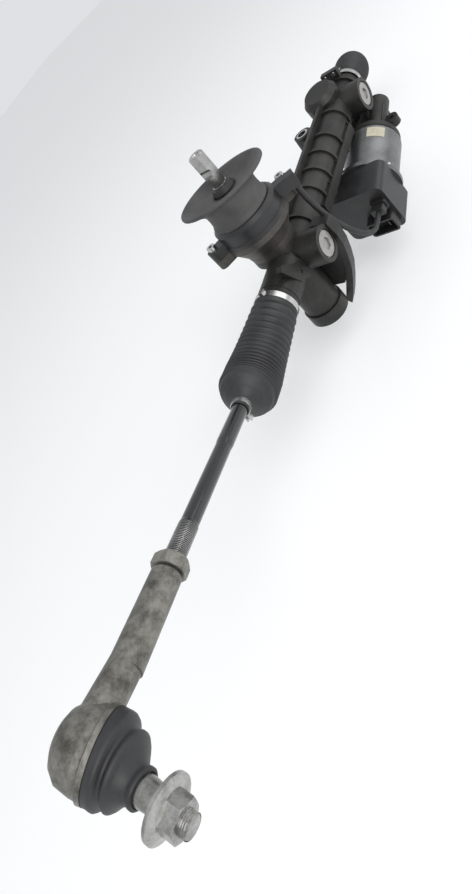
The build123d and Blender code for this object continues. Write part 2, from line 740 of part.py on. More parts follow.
def make_yoke(x, reach):
    back = reach - PLUG_THICK - YOKE_SPRING_ROOM
    with BuildPart() as yoke:
        with BuildSketch(facing_front(x, AXIS_Y - 4.5, 0)):
            Circle(YOKE_R)
        extrude(amount=back - 4.5)
        with BuildSketch(across(x - 20.0)):
            Circle(RACK_R + FIT_GAP)
        extrude(amount=40.0, mode=Mode.SUBTRACT)
        with BuildSketch(facing_front(x, AXIS_Y - back + 5.0, 0)):
            Circle(8.5)
        extrude(amount=5.0, mode=Mode.SUBTRACT)
    return yoke.part


SPRING_WIRE = 2.2
SPRING_R = 6.4


def make_yoke_spring(x, reach):
    start = reach - PLUG_THICK - YOKE_SPRING_ROOM - 5.0
    height = YOKE_SPRING_ROOM + 5.0 - SPRING_WIRE - 0.1
    with BuildPart() as spring:
        with BuildLine() as coil:
            Helix(pitch=height / 3, height=height, radius=SPRING_R,
                  center=(x, AXIS_Y - start - SPRING_WIRE / 2 - 0.05, 0), direction=(0, -1, 0))
        with BuildSketch(Plane(origin=coil.line @ 0, z_dir=coil.line % 0)):
            RegularPolygon(SPRING_WIRE / 2, 8)
        sweep(path=coil.line, is_frenet=True)
    return spring.part


def make_yoke_plug(x, reach, key):
    with BuildPart() as plug:
        with BuildSketch(facing_front(x, AXIS_Y - reach + PLUG_THICK, 0)):
            Circle(YOKE_R + FIT_GAP)
        extrude(amount=PLUG_THICK - 2.5)
        with BuildSketch(facing_front(x, AXIS_Y - reach + 2.5, 0)):
            Circle(YOKE_R - 1.5)
            RegularPolygon(key / 2, 6, major_radius=False, mode=Mode.SUBTRACT)
        extrude(amount=2.0)
    return plug.part


def make_mount_sleeves():
    with BuildPart() as sleeves:
        for x in (0.0, FAR_MOUNT_X):
            add(ring_on(level(x, 0, -MOUNT_HEIGHT / 2 - 0.5), MOUNT_BORE_R, MOUNT_HOLE_R,
                        MOUNT_HEIGHT + 1.0))
    return sleeves.part


def make_bearing_cap():
    with BuildPart() as cap:
        with BuildSketch(level(NEAR_PINION_X, INPUT_Y, TOWER_BOTTOM - CAP_THICK)):
            Circle(CAP_R)
        extrude(amount=CAP_THICK)
        chamfer(cap.edges().sort_by(Axis.Z)[0], 2.0)
        with BuildSketch(level(NEAR_PINION_X, INPUT_Y, TOWER_BOTTOM - CAP_THICK - 6.0)):
            Circle(7.0)
        extrude(amount=6.0)
        with BuildSketch(level(NEAR_PINION_X, INPUT_Y, TOWER_BOTTOM)):
            Circle(15.0)
        extrude(amount=-8.0, mode=Mode.SUBTRACT)
    return cap.part


NEAR_ENTRY_END = NEAR_NOZZLE_END + NEAR_ENTRY_DEPTH
FAR_ENTRY_END = FAR_NOZZLE_END - FAR_ENTRY_DEPTH


def tube_stretch(casting, start, end):
    """Stretch of the casting between two planes square to the rack."""
    with BuildPart() as stretch:
        add(casting)
        with BuildSketch(across(start)):
            Circle(2.0 * CASTING_REACH)
        extrude(amount=end - start, mode=Mode.INTERSECT)
    return stretch.part


# ================================================================ torque sensor on the tower
def around_input(radius, angle, z):
    return level(NEAR_PINION_X + radius * cos(radians(angle)),
                 INPUT_Y + radius * sin(radians(angle)), z)


def input_profile(points):
    plane = Plane(origin=(NEAR_PINION_X, INPUT_Y, 0), x_dir=(0, 0, 1), z_dir=(0, 1, 0))
    return turned(plane, points)


SCREW_ANGLES = (SCREW_ANGLE, SCREW_ANGLE + 180.0)
EAR_R = 8.0
SCREW_R = 3.0
PLUG_ANGLE = -57.0
PLUG_AT = 61.5


def screw_ears(low, high, inner):
    with BuildPart() as ears:
        for angle in SCREW_ANGLES:
            with BuildSketch(around_input(SCREW_PITCH_R, angle, low)):
                Circle(EAR_R)
            extrude(amount=high - low)
            with BuildSketch(around_input((SCREW_PITCH_R + inner) / 2, angle, low)):
                Rectangle(SCREW_PITCH_R - inner, 2 * EAR_R, rotation=angle)
            extrude(amount=high - low)
            with BuildSketch(around_input(SCREW_PITCH_R, angle, low)):
                Circle(SCREW_R)
            extrude(amount=high - low, mode=Mode.SUBTRACT)
    return ears.part


def make_sensor_housing():
    bowl = input_profile([(TOWER_TOP, 14.0), (TOWER_TOP, 30.0), (36.0, 32.0), (50.0, BOWL_R - 3.0),
                          (54.0, BOWL_R), (BOWL_TOP, BOWL_R), (BOWL_TOP, BOWL_R - BOWL_WALL),
                          (54.0, BOWL_R - BOWL_WALL), (40.0, 28.0), (31.0, 26.0), (31.0, 14.0)])
    with BuildPart() as housing:
        add(bowl)
        add(screw_ears(50.0, BOWL_TOP, BOWL_R - 3.0))
    return housing.part


def make_sensor_cover():
    lid = input_profile([(BOWL_TOP, 30.0), (BOWL_TOP, COVER_R + 1.5), (66.0, COVER_R + 1.5),
                         (67.0, COVER_R), (80.0, COVER_R), (COVER_TOP, COVER_R - 4.0),
                         (COVER_TOP, 12.0), (80.0, 12.0), (80.0, 30.0)])
    with BuildPart() as cover:
        add(lid)
        add(screw_ears(BOWL_TOP, 74.0, COVER_R - 3.0))
        with BuildSketch(around_input(47.5, PLUG_ANGLE, 64.0)):
            Rectangle(17.0, 13.0, rotation=PLUG_ANGLE)
        extrude(amount=16.0)
    return cover.part


def make_cover_screws():
    with BuildPart() as screws:
        for angle in SCREW_ANGLES:
            with BuildSketch(around_input(SCREW_PITCH_R, angle, 50.0)):
                Circle(SCREW_R)
            extrude(amount=24.0)
            with BuildSketch(around_input(SCREW_PITCH_R, angle, 74.0)):
                Circle(5.4)
                RegularPolygon(2.6, 6, mode=Mode.SUBTRACT)
            extrude(amount=5.0)
            with BuildSketch(around_input(SCREW_PITCH_R, angle, 74.0)):
                Circle(5.4)
            extrude(amount=2.0)
    return screws.part


def lip_outline(length, width):
    with BuildSketch() as outline:
        Ellipse(length / 2, width / 2, rotation=BOOT_ANGLE)
    return outline.sketch


def make_bulkhead_boot():
    wall = 2.5
    centre = level(NEAR_PINION_X - 0.8, INPUT_Y + 0.8, 0)
    with BuildPart() as boot:
        add(input_profile([(COVER_TOP, 24.0), (COVER_TOP, BOOT_BODY_R + 2.0), (87.0, BOOT_BODY_R + 2.0),
                           (88.0, BOOT_BODY_R), (108.0, BOOT_BODY_R), (108.0, BOOT_BODY_R - wall),
                           (88.0, BOOT_BODY_R - wall), (88.0, 24.0)]))
        # Dished top: a flaring skirt from the round body to the long lip, and the shaft seal's web.
        with BuildSketch(centre.offset(108.0)):
            Circle(BOOT_BODY_R)
        with BuildSketch(centre.offset(BOOT_TOP - BOOT_LIP_THICK)):
            add(lip_outline(BOOT_LIP_LENGTH - 6, BOOT_LIP_WIDTH - 6))
        loft()
        with BuildSketch(centre.offset(BOOT_TOP - BOOT_LIP_THICK)):
            add(lip_outline(BOOT_LIP_LENGTH, BOOT_LIP_WIDTH))
        extrude(amount=BOOT_LIP_THICK)
        with BuildSketch(centre.offset(112.0)):
            Circle(BOOT_BODY_R - 4.0)
        with BuildSketch(centre.offset(BOOT_TOP)):
            add(lip_outline(BOOT_LIP_LENGTH - 12, BOOT_LIP_WIDTH - 12))
        loft(mode=Mode.SUBTRACT)
        with BuildSketch(level(NEAR_PINION_X, INPUT_Y, 88.0)):
            Circle(BOOT_BODY_R - wall)
        extrude(amount=20.5, mode=Mode.SUBTRACT)
        with BuildSketch(level(NEAR_PINION_X, INPUT_Y, 100.0)):
            Circle(COLLAR_R)
        extrude(amount=20.0, mode=Mode.SUBTRACT)
    return boot.part


def make_shaft_seal():
    return input_profile([(109.0, SHAFT_R + FIT_GAP), (109.0, COLLAR_R), (114.0, COLLAR_R),
                          (119.0, COLLAR_R - 2.0), (119.0, SHAFT_R + FIT_GAP)])


# ================================================================ gear housing and worm
CAVITY_R = 38.3
TUNNEL_R = 15.5
WORM_BORE_R = 11.0
CAVITY_TOP_UP = -42.0
TUNNEL_TIP = 37.0
MOTOR_FLANGE_R = 36.0
MOTOR_FLANGE_THICK = 7.0



def make_gear_housing():
    outer = CAVITY_R + GEARCASE_WALL
    with BuildPart() as case:
        with BuildSketch(drive_plane(up=GEAR_FLOOR_UP)):
            Circle(outer)
        extrude(amount=GEAR_JOINT_UP - GEAR_FLOOR_UP - 3.0)
        with BuildSketch(drive_plane(up=GEAR_JOINT_UP - 4.0)):
            Circle(GEAR_FLANGE_R)
        extrude(amount=4.0)
        with BuildSketch(worm_plane(MOTOR_START)):
            Circle(TUNNEL_R)
        extrude(amount=TUNNEL_TIP - MOTOR_START)
        with BuildSketch(worm_plane(MOTOR_START)):
            Circle(MOTOR_FLANGE_R)
        extrude(amount=MOTOR_FLANGE_THICK)
        with BuildSketch(drive_plane(up=GEAR_FLOOR_UP)):
            Polygon((-30, -10), (-30, -59), (20, -59), (34, -44), (34, -10), align=None)
        extrude(amount=25.0)
        # Lug with a bolt hole at the front.
        with BuildSketch(drive_plane(side=-66.0, up=GEAR_FLOOR_UP)):
            Circle(9.0)
        extrude(amount=12.0)
        with BuildSketch(drive_plane(side=-66.0, up=GEAR_FLOOR_UP)):
            Circle(3.5)
        extrude(amount=12.0, mode=Mode.SUBTRACT)
        # Bolt holes, wheel room, shaft hole, worm bore.
        with BuildSketch(drive_plane(up=GEAR_JOINT_UP - 4.0)):
            with Locations(*gear_bolt_places()):
                Circle(GEAR_BOLT_R)
        extrude(amount=4.0, mode=Mode.SUBTRACT)
        with BuildSketch(drive_plane(up=GEAR_FLOOR_UP)):
            Circle(CAVITY_R)
        extrude(amount=CAVITY_TOP_UP - GEAR_FLOOR_UP, mode=Mode.SUBTRACT)
        with BuildSketch(drive_plane(up=CAVITY_TOP_UP)):
            Circle(DRIVE_SHAFT_R + 1.5)
        extrude(amount=GEAR_JOINT_UP - CAVITY_TOP_UP, mode=Mode.SUBTRACT)
        with BuildSketch(worm_plane(MOTOR_START)):
            Circle(WORM_BORE_R)
        extrude(amount=WORM_TIP - MOTOR_START, mode=Mode.SUBTRACT)
    return case.part


def make_gear_cover():
    with BuildPart() as cover:
        with BuildSketch(drive_plane(up=GEAR_FLOOR_UP)):
            Circle(CAVITY_R + GEARCASE_WALL)
        extrude(amount=-4.0)
        with BuildSketch(drive_plane(up=GEAR_FLOOR_UP - 4.0)):
            Circle(BOTTOM_BEARING_R + 4.0)
        extrude(amount=-8.0)
        with BuildSketch(drive_plane(up=BOTTOM_BEARING_UP)):
            Circle(BOTTOM_BEARING_R)
        extrude(amount=GEAR_FLOOR_UP - BOTTOM_BEARING_UP, mode=Mode.SUBTRACT)
        # Room for the motor's flange.
        with BuildSketch(worm_plane(MOTOR_START)):
            Circle(MOTOR_FLANGE_R + 0.5)
        extrude(amount=MOTOR_FLANGE_THICK + 0.5, mode=Mode.SUBTRACT)
    return cover.part


# ================================================================ motor and control unit
STATOR_GAP = 0.6


def make_motor_can():
    inner = MOTOR_R - MOTOR_WALL
    with BuildPart() as can:
        with BuildSketch(worm_plane(MOTOR_START)):
            Circle(MOTOR_R)
        extrude(amount=-MOTOR_LENGTH)
        fillet(can.edges().filter_by(GeomType.CIRCLE).sort_by_distance(
            WORM_CENTRE + DRIVE_ALONG * MOTOR_START)[0], 6.0)
        with BuildSketch(worm_plane(MOTOR_END)):
            Circle(RIM_R)
        extrude(amount=-RIM_THICK)
        with BuildSketch(worm_plane(MOTOR_START - 4.0)):
            Circle(inner)
        extrude(amount=-MOTOR_LENGTH - RIM_THICK, mode=Mode.SUBTRACT)
        with BuildSketch(worm_plane(MOTOR_START)):
            Circle(WORM_SHAFT_R + 1.5)
        extrude(amount=-6.0, mode=Mode.SUBTRACT)
    return can.part


def make_motor_stator():
    with BuildPart() as stator:
        with BuildSketch(worm_plane(MOTOR_END + ROTOR_END_GAP - 6.0)):
            Circle(MOTOR_R - MOTOR_WALL)
            Circle(ROTOR_R + STATOR_GAP, mode=Mode.SUBTRACT)
        extrude(amount=MOTOR_LENGTH - 2 * ROTOR_END_GAP + 12.0)
    return stator.part


UNIT_CORNER = 10.0
BOARD_THICK = 2.0


def unit_outline(inset):
    with BuildSketch() as outline:
        RectangleRounded(UNIT_WIDTH - 2 * inset, UNIT_WIDTH - 2 * inset, UNIT_CORNER - inset)
    return outline.sketch


def make_control_unit():
    with BuildPart() as unit:
        with BuildSketch(worm_plane(RIM_END)):
            add(unit_outline(0))
        extrude(amount=-UNIT_LENGTH)
        with BuildSketch(worm_plane(RIM_END - UNIT_WALL)):
            add(unit_outline(UNIT_WALL))
        extrude(amount=-UNIT_LENGTH + UNIT_WALL, mode=Mode.SUBTRACT)
        with BuildSketch(worm_plane(RIM_END)):
            Circle(ROTOR_R)
        extrude(amount=-UNIT_WALL, mode=Mode.SUBTRACT)
    return unit.part


def make_control_board():
    with BuildPart() as board:
        with BuildSketch(worm_plane(RIM_END - 14.0)):
            add(unit_outline(UNIT_WALL))
        extrude(amount=-BOARD_THICK)
    return board.part


SOCKET_DEPTH = 14.0
SOCKET_AT = (-26.0, 13.0)


def make_unit_cover():
    """End cover of the control unit with the sensor socket and the power socket."""
    with BuildPart() as cover:
        with BuildSketch(worm_plane(UNIT_END)):
            add(unit_outline(0))
        extrude(amount=-5.0)
        with BuildSketch(worm_plane(UNIT_END - 5.0)):
            with Locations(SOCKET_AT):
                RectangleRounded(22.0, 16.0, 3.0)
        extrude(amount=-6.0)
    return cover.part


def make_power_socket():
    with BuildPart() as socket:
        with BuildSketch(worm_plane(UNIT_END - 5.0)):
            with Locations((-16.0, -18.0)):
                RectangleRounded(40.0, 26.0, 5.0)
        extrude(amount=-SOCKET_DEPTH)
        with BuildSketch(worm_plane(UNIT_END - 5.0 - SOCKET_DEPTH)):
            with Locations((-16.0, -18.0)):
                RectangleRounded(35.0, 21.0, 3.0)
        extrude(amount=SOCKET_DEPTH - 2.0, mode=Mode.SUBTRACT)
        with BuildSketch(worm_plane(UNIT_END - 7.0)):
            with Locations((-25.0, -18.0), (-7.0, -18.0)):
                Rectangle(2.0, 8.0)
        extrude(amount=-8.0)
    return socket.part


def make_drive_screws():
    """Three screws in the motor's rim and three bolts between the two housings."""
    with BuildPart() as screws:
        for angle in (35.0, 155.0, 275.0):
            side = (RIM_R - 3.2) * cos(radians(angle))
            up = (RIM_R - 3.2) * sin(radians(angle))
            with BuildSketch(worm_plane(MOTOR_END)):
                with Locations((side, up)):
                    Circle(2.6)
            extrude(amount=3.5)
        head_up = GEAR_JOINT_UP + GEAR_FLANGE_THICK
        for along, side in gear_bolt_places():
            with BuildSketch(drive_plane(along, side, head_up)):
                RegularPolygon(4.3, 6, major_radius=False)
            extrude(amount=3.5)
            with BuildSketch(drive_plane(along, side, GEAR_JOINT_UP - 4.0)):
                Circle(GEAR_BOLT_R)
            extrude(amount=4.0 + GEAR_FLANGE_THICK)
    return screws.part


LABEL_ANGLE = 124.0
LABEL_SPREAD = 18.0


def make_label_plate():
    """Blank plate that follows the motor can."""
    low = radians(LABEL_ANGLE - LABEL_SPREAD)
    high = radians(LABEL_ANGLE + LABEL_SPREAD)
    far = 2 * MOTOR_R
    with BuildPart() as plate:
        with BuildSketch(worm_plane(MOTOR_START - 8.0)):
            Circle(MOTOR_R + 0.5)
            Circle(MOTOR_R, mode=Mode.SUBTRACT)
            Polygon((0, 0), (far * cos(low), far * sin(low)), (far * cos(high), far * sin(high)),
                    align=None, mode=Mode.INTERSECT)
        extrude(amount=-16.0)
    return plate.part


# ================================================================ sensor lead
def lead_path():
    points = [Vector(*p) for p in LEAD_POINTS]
    radii = []
    for before, here, after in zip(points, points[1:], points[2:]):
        turn = (here - before).get_angle(after - here)
        room = 0.45 * min((here - before).length, (after - here).length)
        radii.append(room / tan(radians(turn) / 2))
    return points, radii


def make_sensor_lead():
    points, radii = lead_path()
    with BuildPart() as lead:
        with BuildLine() as path:
            FilletPolyline(*points, radius=radii)
        with BuildSketch(Plane(origin=path.line @ 0, z_dir=path.line % 0)):
            Circle(LEAD_R)
        sweep(path=path.line)
    return lead.part


def make_sensor_plug():
    with BuildPart() as plug:
        with BuildSketch(around_input(PLUG_AT, PLUG_ANGLE, 62.0)):
            Rectangle(11.0, 12.0, rotation=PLUG_ANGLE)
        extrude(amount=17.0)
    return plug.part


def make_unit_plug():
    with BuildPart() as plug:
        with BuildSketch(worm_plane(UNIT_END - 11.0)):
            with Locations(SOCKET_AT):
                RectangleRounded(18.0, 12.0, 2.5)
        extrude(amount=-10.0)
    return plug.part


# ================================================================ tie rods, joints, rod ends
MOUTH = 6.0                 # height of a socket's mouth over its ball's centre
JOINT_LIP = 9.0


SOCKET_STEPS = 6            # cones that stand for the round of a socket or a seat


def socket_outline(radius, outside):
    """Straight steps round a ball, from a socket's bottom to its mouth, outside or inside the radius."""
    step = acos(-MOUTH / radius) / SOCKET_STEPS
    reach = radius / cos(step / 2) if outside else radius
    return [(-reach * cos(step * k), reach * sin(step * k)) for k in range(SOCKET_STEPS + 1)]


def make_inner_joint(ball, outward):
    floor = -STUB_LENGTH - JOINT_BACK + 2 * STUB_LENGTH
    body = turned(profile_plane(ball, outward),
                  [*socket_outline(SOCKET_R, True), (JOINT_LIP, 14.8),
                   (JOINT_LIP, INNER_JOINT_R - 1.8), (4.0, INNER_JOINT_R),
                   (-JOINT_BACK + 1.5, INNER_JOINT_R), (-JOINT_BACK, INNER_JOINT_R - 1.5),
                   (-JOINT_BACK, STUB_R), (floor, STUB_R), (floor, 0)])
    with BuildPart() as joint:
        add(body)
        # Two flats for the spanner.
        with BuildSketch(cross_plane(ball, outward, -JOINT_BACK + 2.0)):
            with Locations((0, INNER_JOINT_R), (0, -INNER_JOINT_R)):
                Rectangle(2 * INNER_JOINT_R, 2.4)
        extrude(amount=7.0, mode=Mode.SUBTRACT)
    return joint.part


def make_seat(ball, axis, ball_r):
    inner = ball_r + FREE_GAP
    outer = inner + SEAT_WALL
    return turned(profile_plane(ball, axis),
                  [*socket_outline(outer, False), *reversed(socket_outline(inner, True))])


THREAD_R = 7.8
THREAD_START = 202.0
THREAD_END = 292.0


def make_tie_rod(ball, along):
    return turned(profile_plane(ball, along),
                  [(-INNER_BALL_R, 0), (sqrt(INNER_BALL_R ** 2 - ROD_NECK_R ** 2), ROD_NECK_R),
                   (20.0, ROD_NECK_R), (25.0, THREAD_R), (106.0, THREAD_R), (112.0, ROD_R),
                   (THREAD_START - 2.0, ROD_R), (THREAD_START, THREAD_R),
                   (THREAD_END - 1.5, THREAD_R), (THREAD_END, THREAD_R - 1.5), (THREAD_END, 0)],
                  round_from=(0,))


SLEEVE_START = 245.0
SLEEVE_END = 312.0


def make_rod_end(ball, along, cup):
    centre = ball + along * ROD_TO_BALL
    shell = profile_plane(centre, cup)
    bell = turned(shell,
                  [(-17.0, 0), (-17.0, 11.0), (-14.5, 15.5), (-9.0, 20.0), (0, 22.0), (4.0, 22.4),
                   (5.0, CUP_RIM_R), (8.0, CUP_RIM_R), (8.0, 0)])
    socket = turned(shell, [*socket_outline(SOCKET_R, True), (8.5, 14.9), (8.5, 0)])
    sleeve = turned(profile_plane(ball, along),
                    [(SLEEVE_START, 0), (SLEEVE_START, SLEEVE_R - 1.0),
                     (SLEEVE_START + 1.5, SLEEVE_R), (SLEEVE_END, SLEEVE_R), (SLEEVE_END, 0)])
    with BuildPart() as end:
        add(sleeve)
        with BuildSketch(cross_plane(ball, along, SLEEVE_END - 8.0)):
            Circle(SLEEVE_R - 0.4)
        with BuildSketch(Plane(origin=ball + along * (ROD_TO_BALL - 14.0) - cup * 3.0,
                               x_dir=cup.cross(along), z_dir=along)):
            Ellipse(15.0, 11.0)
        loft()
        add(bell)
        add(socket, mode=Mode.SUBTRACT)
        with BuildSketch(cross_plane(ball, along, SLEEVE_START)):
            Circle(THREAD_R)
        extrude(amount=THREAD_END - SLEEVE_START + 1.0, mode=Mode.SUBTRACT)
    return end.part


STUD_NECK_R = 6.8
TAPER_START = 37.0
TAPER_END = 52.0


def make_ball_stud(centre, along):
    return turned(profile_plane(centre, along),
                  [(-OUTER_BALL_R, 0), (sqrt(OUTER_BALL_R ** 2 - STUD_NECK_R ** 2), STUD_NECK_R),
                   (24.0, STUD_NECK_R), (30.0, 8.0), (TAPER_START, 8.0),
                   (TAPER_END, STUD_NECK_R), (TAPER_END + 0.8, STUD_THREAD_R),
                   (STUD_LENGTH - 1.0, STUD_THREAD_R), (STUD_LENGTH, STUD_THREAD_R - 1.0),
                   (STUD_LENGTH, 0)], round_from=(0,))


def make_stud_nut(centre, along):
    flange = turned(profile_plane(centre, along),
                    [(FLANGE_NUT_SEAT, STUD_THREAD_R), (FLANGE_NUT_SEAT, FLANGE_NUT_R),
                     (FLANGE_NUT_SEAT + 2.0, FLANGE_NUT_R), (FLANGE_NUT_SEAT + 4.0, 11.0),
                     (FLANGE_NUT_SEAT + 4.0, STUD_THREAD_R)])
    with BuildPart() as nut:
        add(flange)
        add(hex_nut(centre, along, FLANGE_NUT_SEAT + 2.0, 10.5, FLANGE_NUT_FLATS, STUD_THREAD_R))
    return nut.part


def make_stud_boot(centre, cup, stud):
    stations = [(8.0, 23.3), (12.0, 23.0), (17.0, 22.5), (21.0, 18.0), (25.0, 19.0), (29.0, 15.0),
                (33.0, 10.8), (37.0, 9.3), (40.0, 9.3)]
    centres = []
    normals = []
    for s, radius in stations:
        share = min(max((s - 8.0) / 25.0, 0.0), 1.0)
        lean = (cup * (1 - share) + stud * share).normalized()
        centres.append(centre + cup * s * (1 - share) + stud * s * share)
        normals.append(lean)
    return skew_tube(centres, normals, [r for s, r in stations], 1.25)


# ================================================================ bellows and their clamps
def curve(start, start_way, end, end_way, count):
    """Centres and directions along a smooth bend between two ends."""
    length = (end - start).length
    first = start + start_way * length * 0.5
    second = end - end_way * length * 0.25
    centres = []
    normals = []
    for step in range(count + 1):
        t = step / count
        centres.append(start * (1 - t) ** 3 + first * (3 * t * (1 - t) ** 2)
                       + second * (3 * t * t * (1 - t)) + end * t ** 3)
        normals.append(((first - start) * (1 - t) ** 2 + (second - first) * (2 * t * (1 - t))
                        + (end - second) * t ** 2).normalized())
    return centres, normals


def make_bellows(clamp_x, outward, nozzle_r, ball, along, first_r, last_r, folds):
    nozzle_end = Vector(clamp_x, AXIS_Y, 0) + outward * NOZZLE_LIP
    cone_start = ball + along * 27.0
    centres, normals = curve(nozzle_end + outward * 1.0, outward, cone_start, along, 2 * folds)
    radii = []
    for step in range(2 * folds + 1):
        crest = first_r + (last_r - first_r) * min(1.0, 1.4 * step / (2 * folds))
        radii.append(crest if step % 2 else crest - FOLD_DEPTH)
    sleeve = nozzle_r + BELLOWS_WALL
    centres = [nozzle_end - outward * (CLAMP_WIDTH + 3.5), nozzle_end] + centres
    normals = [outward, outward] + normals
    radii = [sleeve, sleeve] + radii
    for distance, radius in ((33.0, last_r - 4.5), (46.0, THREAD_R + BELLOWS_WALL + 1.2),
                             (47.0, THREAD_R + BELLOWS_WALL), (56.0, THREAD_R + BELLOWS_WALL)):
        centres.append(ball + along * distance)
        normals.append(along)
        radii.append(radius)
    return skew_tube(centres, normals, radii, BELLOWS_WALL)


def make_large_clamp(x, nozzle_r):
    inner = nozzle_r + BELLOWS_WALL
    with BuildPart() as clamp:
        with BuildSketch(across(x - CLAMP_WIDTH / 2)):
            Circle(inner + CLAMP_BAND)
            Circle(inner, mode=Mode.SUBTRACT)
        extrude(amount=CLAMP_WIDTH)
        with BuildSketch(across(x - CLAMP_WIDTH / 2)):
            with Locations((0, inner + CLAMP_BAND + 1.6)):
                Rectangle(5.0, 4.0)
        extrude(amount=CLAMP_WIDTH)
    return clamp.part


def make_small_clamp(ball, along):
    inner = THREAD_R + BELLOWS_WALL
    with BuildPart() as clamp:
        with BuildSketch(cross_plane(ball, along, 48.5)):
            Circle(inner + 1.0)
            Circle(inner, mode=Mode.SUBTRACT)
        extrude(amount=6.0)
        with BuildSketch(cross_plane(ball, along, 48.5)):
            with Locations((2.2, -inner - 4.0), (-2.2, -inner - 4.0)):
                Rectangle(1.2, 7.0)
        extrude(amount=6.0)
    return clamp.part


def pair(near, far):
    with BuildPart() as both:
        add(near)
        add(far)
    return both.part


# ================================================================ write every piece
OUT_NEAR = Vector(-1, 0, 0)
OUT_FAR = Vector(1, 0, 0)
WHOLE_CASTING = make_main_housing()
PIECES = {
    "main_housing": tube_stretch(WHOLE_CASTING, NEAR_ENTRY_END, FAR_ENTRY_END),
    "near_nozzle": tube_stretch(WHOLE_CASTING, NEAR_NOZZLE_END, NEAR_ENTRY_END),
    "far_nozzle": tube_stretch(WHOLE_CASTING, FAR_ENTRY_END, FAR_NOZZLE_END),
    "pinion_bearings": make_pinion_bearings(),
    "drive_bearings": make_drive_bearings(),
    "rack_bushes": make_rack_bushes(),
    "near_yoke": make_yoke(NEAR_PINION_X, NEAR_BOSS_REACH),
    "far_yoke": make_yoke(FAR_PINION_X, FAR_BOSS_REACH),
    "yoke_springs": pair(make_yoke_spring(NEAR_PINION_X, NEAR_BOSS_REACH),
                         make_yoke_spring(FAR_PINION_X, FAR_BOSS_REACH)),
    "yoke_plugs": pair(make_yoke_plug(NEAR_PINION_X, NEAR_BOSS_REACH, 14.0),
                       make_yoke_plug(FAR_PINION_X, FAR_BOSS_REACH, 14.0)),
    "mount_sleeves": make_mount_sleeves(),
    "bearing_cap": make_bearing_cap(),
    "sensor_housing": make_sensor_housing(),
    "sensor_cover": make_sensor_cover(),
    "cover_screws": make_cover_screws(),
    "bulkhead_boot": make_bulkhead_boot(),
    "shaft_seal": make_shaft_seal(),
    "gear_housing": make_gear_housing(),
    "gear_cover": make_gear_cover(),
    "drive_screws": make_drive_screws(),
    "motor_can": make_motor_can(),
    "motor_stator": make_motor_stator(),
    "label_plate": make_label_plate(),
    "control_unit": make_control_unit(),
    "control_board": make_control_board(),
    "unit_cover": make_unit_cover(),
    "power_socket": make_power_socket(),
    "sensor_lead": make_sensor_lead(),
    "sensor_plug": make_sensor_plug(),
    "unit_plug": make_unit_plug(),
    "rack_bar": make_rack_bar(),
    "input_shaft": make_input_shaft(),
    "drive_pinion": make_drive_pinion(),
    "worm_wheel": make_worm_wheel(),
    "worm_shaft": make_worm_shaft(),
    "motor_rotor": make_motor_rotor(),
    "near_large_clamp": make_large_clamp(NEAR_CLAMP_X, NEAR_NOZZLE_R),
    "far_large_clamp": make_large_clamp(FAR_CLAMP_X, FAR_NOZZLE_R),
    "near_bellows": make_bellows(NEAR_CLAMP_X, OUT_NEAR, NEAR_NOZZLE_R, NEAR_BALL, NEAR_ROD,
                                 26.0, 31.0, 16),
    "far_bellows": make_bellows(FAR_CLAMP_X, OUT_FAR, FAR_NOZZLE_R, FAR_BALL, FAR_ROD,
                                24.0, 26.2, 14),
}
for side, ball, outward, along, cup, stud in (
        ("near", NEAR_BALL, OUT_NEAR, NEAR_ROD, NEAR_CUP, NEAR_STUD),
        ("far", FAR_BALL, OUT_FAR, FAR_ROD, FAR_CUP, FAR_STUD)):
    end = ball + along * ROD_TO_BALL
    level_way = Vector(along.X, along.Y, 0).normalized()
    PIECES[f"{side}_inner_joint"] = make_inner_joint(ball, outward)
    PIECES[f"{side}_inner_seat"] = make_seat(ball, level_way, INNER_BALL_R)
    PIECES[f"{side}_tie_rod"] = make_tie_rod(ball, along)
    PIECES[f"{side}_lock_nut"] = hex_nut(ball, along, ROD_TO_NUT - LOCK_NUT_THICK / 2,
                                         LOCK_NUT_THICK, LOCK_NUT_FLATS, THREAD_R)
    PIECES[f"{side}_small_clamp"] = make_small_clamp(ball, along)
    PIECES[f"{side}_rod_end"] = make_rod_end(ball, along, cup)
    PIECES[f"{side}_outer_seat"] = make_seat(end, cup, OUTER_BALL_R)
    PIECES[f"{side}_ball_stud"] = make_ball_stud(end, stud)
    PIECES[f"{side}_stud_nut"] = make_stud_nut(end, stud)
    PIECES[f"{side}_stud_boot"] = make_stud_boot(end, cup, stud)
for name, piece in PIECES.items():
    save(piece, name)
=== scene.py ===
from math import cos, pi, radians, sin

import bmesh
import bpy
from mathutils import Matrix, Vector


